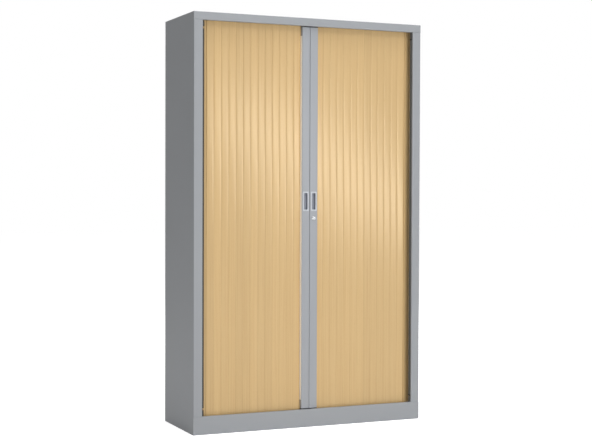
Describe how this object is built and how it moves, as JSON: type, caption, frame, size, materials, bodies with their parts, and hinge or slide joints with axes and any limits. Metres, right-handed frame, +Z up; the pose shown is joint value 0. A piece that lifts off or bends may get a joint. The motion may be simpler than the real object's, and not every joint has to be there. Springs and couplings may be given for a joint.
{
  "type": "tambour door cupboard",
  "caption": "Tall steel cupboard with two sideways tambour curtains of upright slats, recessed grips, a cylinder lock, shelves and levelling feet.",
  "frame": {"origin": "centre of the cupboard's footprint, on the floor", "axes": "+Z up, -Y towards the front, +X to the right seen from the front"},
  "size_m": [1.2, 0.43, 1.98],
  "materials": {
    "silver_paint": "satin silver powder coat",
    "rail_paint": "satin silver powder coat",
    "inner_paint": "satin silver powder coat",
    "beech_slats": "satin beech",
    "track_plastic": "matte",
    "nylon": "matte",
    "handle_plastic": "satin",
    "lock_chrome": "polished",
    "buffer_rubber": "matte",
    "zinc_steel": "zinc plated"
  },
  "bodies": {
    "carcass": {"back_panel": "silver_paint", "bottom_panel": "silver_paint", "bottom_tracks": "track_plastic", "end_buffers": "buffer_rubber", "left_liner": "inner_paint", "left_side_panel": "silver_paint", "plinth": "silver_paint", "right_liner": "inner_paint", "right_side_panel": "silver_paint", "shelf_1": "inner_paint", "shelf_2": "inner_paint", "shelf_3": "inner_paint", "shelf_4": "inner_paint", "shelf_clips": "zinc_steel", "slotted_strips": "inner_paint", "top_panel": "silver_paint", "top_tracks": "track_plastic"},
    "left_door": {"left_leading_rail": "rail_paint", "left_rail_glides": "nylon", "left_handle_cup": "handle_plastic"},
    "left_slat_01": {"left_slat_01": "beech_slats"},
    "left_slat_02": {"left_slat_02": "beech_slats"},
    "left_slat_03": {"left_slat_03": "beech_slats"},
    "left_slat_04": {"left_slat_04": "beech_slats"},
    "left_slat_05": {"left_slat_05": "beech_slats"},
    "left_slat_06": {"left_slat_06": "beech_slats"},
    "left_slat_07": {"left_slat_07": "beech_slats"},
    "left_slat_08": {"left_slat_08": "beech_slats"},
    "left_slat_09": {"left_slat_09": "beech_slats"},
    "left_slat_10": {"left_slat_10": "beech_slats"},
    "left_slat_11": {"left_slat_11": "beech_slats"},
    "left_slat_12": {"left_slat_12": "beech_slats"},
    "left_slat_13": {"left_slat_13": "beech_slats"},
    "left_corner_slats": {"left_corner_slats": "beech_slats"},
    "left_tail_slat": {"left_tail_slat": "beech_slats"},
    "right_door": {"right_leading_rail": "rail_paint", "right_rail_glides": "nylon", "right_handle_cup": "handle_plastic", "lock_barrel": "lock_chrome"},
    "right_slat_01": {"right_slat_01": "beech_slats"},
    "right_slat_02": {"right_slat_02": "beech_slats"},
    "right_slat_03": {"right_slat_03": "beech_slats"},
    "right_slat_04": {"right_slat_04": "beech_slats"},
    "right_slat_05": {"right_slat_05": "beech_slats"},
    "right_slat_06": {"right_slat_06": "beech_slats"},
    "right_slat_07": {"right_slat_07": "beech_slats"},
    "right_slat_08": {"right_slat_08": "beech_slats"},
    "right_slat_09": {"right_slat_09": "beech_slats"},
    "right_slat_10": {"right_slat_10": "beech_slats"},
    "right_slat_11": {"right_slat_11": "beech_slats"},
    "right_slat_12": {"right_slat_12": "beech_slats"},
    "right_slat_13": {"right_slat_13": "beech_slats"},
    "right_corner_slats": {"right_corner_slats": "beech_slats"},
    "right_tail_slat": {"right_tail_slat": "beech_slats"},
    "lock": {"lock_plug": "lock_chrome", "lock_hook": "lock_chrome"},
    "front_left_foot": {"front_left_foot": "zinc_steel"},
    "front_right_foot": {"front_right_foot": "zinc_steel"},
    "rear_left_foot": {"rear_left_foot": "zinc_steel"},
    "rear_right_foot": {"rear_right_foot": "zinc_steel"}
  },
  "joints": [
    {"name": "left_door_slide", "type": "slide", "parent": "carcass", "child": "left_door", "axis": [-1, 0, 0], "range_m": [0, 0.5104]},
    {"name": "left_slat_01_slide", "type": "slide", "parent": "carcass", "child": "left_slat_01", "axis": [-1, 0, 0], "range_m": [0, 0.51433], "deforming": ["left_slat_01"]},
    {"name": "left_slat_02_slide", "type": "slide", "parent": "carcass", "child": "left_slat_02", "axis": [-1, 0, 0], "range_m": [0, 0.47709], "deforming": ["left_slat_02"]},
    {"name": "left_slat_03_slide", "type": "slide", "parent": "carcass", "child": "left_slat_03", "axis": [-1, 0, 0], "range_m": [0, 0.43985], "deforming": ["left_slat_03"]},
    {"name": "left_slat_04_slide", "type": "slide", "parent": "carcass", "child": "left_slat_04", "axis": [-1, 0, 0], "range_m": [0, 0.40262], "deforming": ["left_slat_04"]},
    {"name": "left_slat_05_slide", "type": "slide", "parent": "carcass", "child": "left_slat_05", "axis": [-1, 0, 0], "range_m": [0, 0.36538], "deforming": ["left_slat_05"]},
    {"name": "left_slat_06_slide", "type": "slide", "parent": "carcass", "child": "left_slat_06", "axis": [-1, 0, 0], "range_m": [0, 0.32814], "deforming": ["left_slat_06"]},
    {"name": "left_slat_07_slide", "type": "slide", "parent": "carcass", "child": "left_slat_07", "axis": [-1, 0, 0], "range_m": [0, 0.2909], "deforming": ["left_slat_07"]},
    {"name": "left_slat_08_slide", "type": "slide", "parent": "carcass", "child": "left_slat_08", "axis": [-1, 0, 0], "range_m": [0, 0.25366], "deforming": ["left_slat_08"]},
    {"name": "left_slat_09_slide", "type": "slide", "parent": "carcass", "child": "left_slat_09", "axis": [-1, 0, 0], "range_m": [0, 0.21642], "deforming": ["left_slat_09"]},
    {"name": "left_slat_10_slide", "type": "slide", "parent": "carcass", "child": "left_slat_10", "axis": [-1, 0, 0], "range_m": [0, 0.17918], "deforming": ["left_slat_10"]},
    {"name": "left_slat_11_slide", "type": "slide", "parent": "carcass", "child": "left_slat_11", "axis": [-1, 0, 0], "range_m": [0, 0.14195], "deforming": ["left_slat_11"]},
    {"name": "left_slat_12_slide", "type": "slide", "parent": "carcass", "child": "left_slat_12", "axis": [-1, 0, 0], "range_m": [0, 0.10471], "deforming": ["left_slat_12"]},
    {"name": "left_slat_13_slide", "type": "slide", "parent": "carcass", "child": "left_slat_13", "axis": [-1, 0, 0], "range_m": [0, 0.06747], "deforming": ["left_slat_13"]},
    {"name": "left_corner_turn", "type": "hinge", "parent": "carcass", "child": "left_corner_slats", "pos_m": [-0.5285, -0.1145, 0.1], "axis": [0, 0, -1], "range_deg": [0, 35.98], "deforming": ["left_corner_slats"]},
    {"name": "left_tail_slat_slide", "type": "slide", "parent": "carcass", "child": "left_tail_slat", "axis": [0, 1, 0], "range_m": [0, 0.25], "deforming": ["left_tail_slat"]},
    {"name": "right_door_slide", "type": "slide", "parent": "carcass", "child": "right_door", "axis": [1, 0, 0], "range_m": [0, 0.5104]},
    {"name": "right_slat_01_slide", "type": "slide", "parent": "carcass", "child": "right_slat_01", "axis": [1, 0, 0], "range_m": [0, 0.51433], "deforming": ["right_slat_01"]},
    {"name": "right_slat_02_slide", "type": "slide", "parent": "carcass", "child": "right_slat_02", "axis": [1, 0, 0], "range_m": [0, 0.47709], "deforming": ["right_slat_02"]},
    {"name": "right_slat_03_slide", "type": "slide", "parent": "carcass", "child": "right_slat_03", "axis": [1, 0, 0], "range_m": [0, 0.43985], "deforming": ["right_slat_03"]},
    {"name": "right_slat_04_slide", "type": "slide", "parent": "carcass", "child": "right_slat_04", "axis": [1, 0, 0], "range_m": [0, 0.40262], "deforming": ["right_slat_04"]},
    {"name": "right_slat_05_slide", "type": "slide", "parent": "carcass", "child": "right_slat_05", "axis": [1, 0, 0], "range_m": [0, 0.36538], "deforming": ["right_slat_05"]},
    {"name": "right_slat_06_slide", "type": "slide", "parent": "carcass", "child": "right_slat_06", "axis": [1, 0, 0], "range_m": [0, 0.32814], "deforming": ["right_slat_06"]},
    {"name": "right_slat_07_slide", "type": "slide", "parent": "carcass", "child": "right_slat_07", "axis": [1, 0, 0], "range_m": [0, 0.2909], "deforming": ["right_slat_07"]},
    {"name": "right_slat_08_slide", "type": "slide", "parent": "carcass", "child": "right_slat_08", "axis": [1, 0, 0], "range_m": [0, 0.25366], "deforming": ["right_slat_08"]},
    {"name": "right_slat_09_slide", "type": "slide", "parent": "carcass", "child": "right_slat_09", "axis": [1, 0, 0], "range_m": [0, 0.21642], "deforming": ["right_slat_09"]},
    {"name": "right_slat_10_slide", "type": "slide", "parent": "carcass", "child": "right_slat_10", "axis": [1, 0, 0], "range_m": [0, 0.17918], "deforming": ["right_slat_10"]},
    {"name": "right_slat_11_slide", "type": "slide", "parent": "carcass", "child": "right_slat_11", "axis": [1, 0, 0], "range_m": [0, 0.14195], "deforming": ["right_slat_11"]},
    {"name": "right_slat_12_slide", "type": "slide", "parent": "carcass", "child": "right_slat_12", "axis": [1, 0, 0], "range_m": [0, 0.10471], "deforming": ["right_slat_12"]},
    {"name": "right_slat_13_slide", "type": "slide", "parent": "carcass", "child": "right_slat_13", "axis": [1, 0, 0], "range_m": [0, 0.06747], "deforming": ["right_slat_13"]},
    {"name": "right_corner_turn", "type": "hinge", "parent": "carcass", "child": "right_corner_slats", "pos_m": [0.5285, -0.1145, 0.1], "axis": [0, 0, 1], "range_deg": [0, 35.98], "deforming": ["right_corner_slats"]},
    {"name": "right_tail_slat_slide", "type": "slide", "parent": "carcass", "child": "right_tail_slat", "axis": [0, 1, 0], "range_m": [0, 0.25], "deforming": ["right_tail_slat"]},
    {"name": "lock_turn", "type": "hinge", "parent": "right_door", "child": "lock", "pos_m": [0.0211, -0.172, 1.014], "axis": [0, 1, 0], "range_deg": [0, 90]},
    {"name": "front_left_foot_screw", "type": "slide", "parent": "carcass", "child": "front_left_foot", "axis": [0, 0, -1], "range_m": [0, 0.015]},
    {"name": "front_right_foot_screw", "type": "slide", "parent": "carcass", "child": "front_right_foot", "axis": [0, 0, -1], "range_m": [0, 0.015]},
    {"name": "rear_left_foot_screw", "type": "slide", "parent": "carcass", "child": "rear_left_foot", "axis": [0, 0, -1], "range_m": [0, 0.015]},
    {"name": "rear_right_foot_screw", "type": "slide", "parent": "carcass", "child": "rear_right_foot", "axis": [0, 0, -1], "range_m": [0, 0.015]}
  ],
  "couplings": [
    {"joint": "left_slat_01_slide", "follows": "left_door_slide", "ratio": 1.0076},
    {"joint": "left_slat_02_slide", "follows": "left_door_slide", "ratio": 0.93464},
    {"joint": "left_slat_03_slide", "follows": "left_door_slide", "ratio": 0.86169},
    {"joint": "left_slat_04_slide", "follows": "left_door_slide", "ratio": 0.78873},
    {"joint": "left_slat_05_slide", "follows": "left_door_slide", "ratio": 0.71577},
    {"joint": "left_slat_06_slide", "follows": "left_door_slide", "ratio": 0.64281},
    {"joint": "left_slat_07_slide", "follows": "left_door_slide", "ratio": 0.56985},
    {"joint": "left_slat_08_slide", "follows": "left_door_slide", "ratio": 0.49689},
    {"joint": "left_slat_09_slide", "follows": "left_door_slide", "ratio": 0.42393},
    {"joint": "left_slat_10_slide", "follows": "left_door_slide", "ratio": 0.35097},
    {"joint": "left_slat_11_slide", "follows": "left_door_slide", "ratio": 0.27801},
    {"joint": "left_slat_12_slide", "follows": "left_door_slide", "ratio": 0.20505},
    {"joint": "left_slat_13_slide", "follows": "left_door_slide", "ratio": 0.13209},
    {"joint": "left_corner_turn", "follows": "left_door_slide", "rad_per_m": 1.23},
    {"joint": "left_tail_slat_slide", "follows": "left_door_slide", "ratio": 0.48981},
    {"joint": "right_slat_01_slide", "follows": "right_door_slide", "ratio": 1.0076},
    {"joint": "right_slat_02_slide", "follows": "right_door_slide", "ratio": 0.93464},
    {"joint": "right_slat_03_slide", "follows": "right_door_slide", "ratio": 0.86169},
    {"joint": "right_slat_04_slide", "follows": "right_door_slide", "ratio": 0.78873},
    {"joint": "right_slat_05_slide", "follows": "right_door_slide", "ratio": 0.71577},
    {"joint": "right_slat_06_slide", "follows": "right_door_slide", "ratio": 0.64281},
    {"joint": "right_slat_07_slide", "follows": "right_door_slide", "ratio": 0.56985},
    {"joint": "right_slat_08_slide", "follows": "right_door_slide", "ratio": 0.49689},
    {"joint": "right_slat_09_slide", "follows": "right_door_slide", "ratio": 0.42393},
    {"joint": "right_slat_10_slide", "follows": "right_door_slide", "ratio": 0.35097},
    {"joint": "right_slat_11_slide", "follows": "right_door_slide", "ratio": 0.27801},
    {"joint": "right_slat_12_slide", "follows": "right_door_slide", "ratio": 0.20505},
    {"joint": "right_slat_13_slide", "follows": "right_door_slide", "ratio": 0.13209},
    {"joint": "right_corner_turn", "follows": "right_door_slide", "rad_per_m": 1.23},
    {"joint": "right_tail_slat_slide", "follows": "right_door_slide", "ratio": 0.48981}
  ]
}
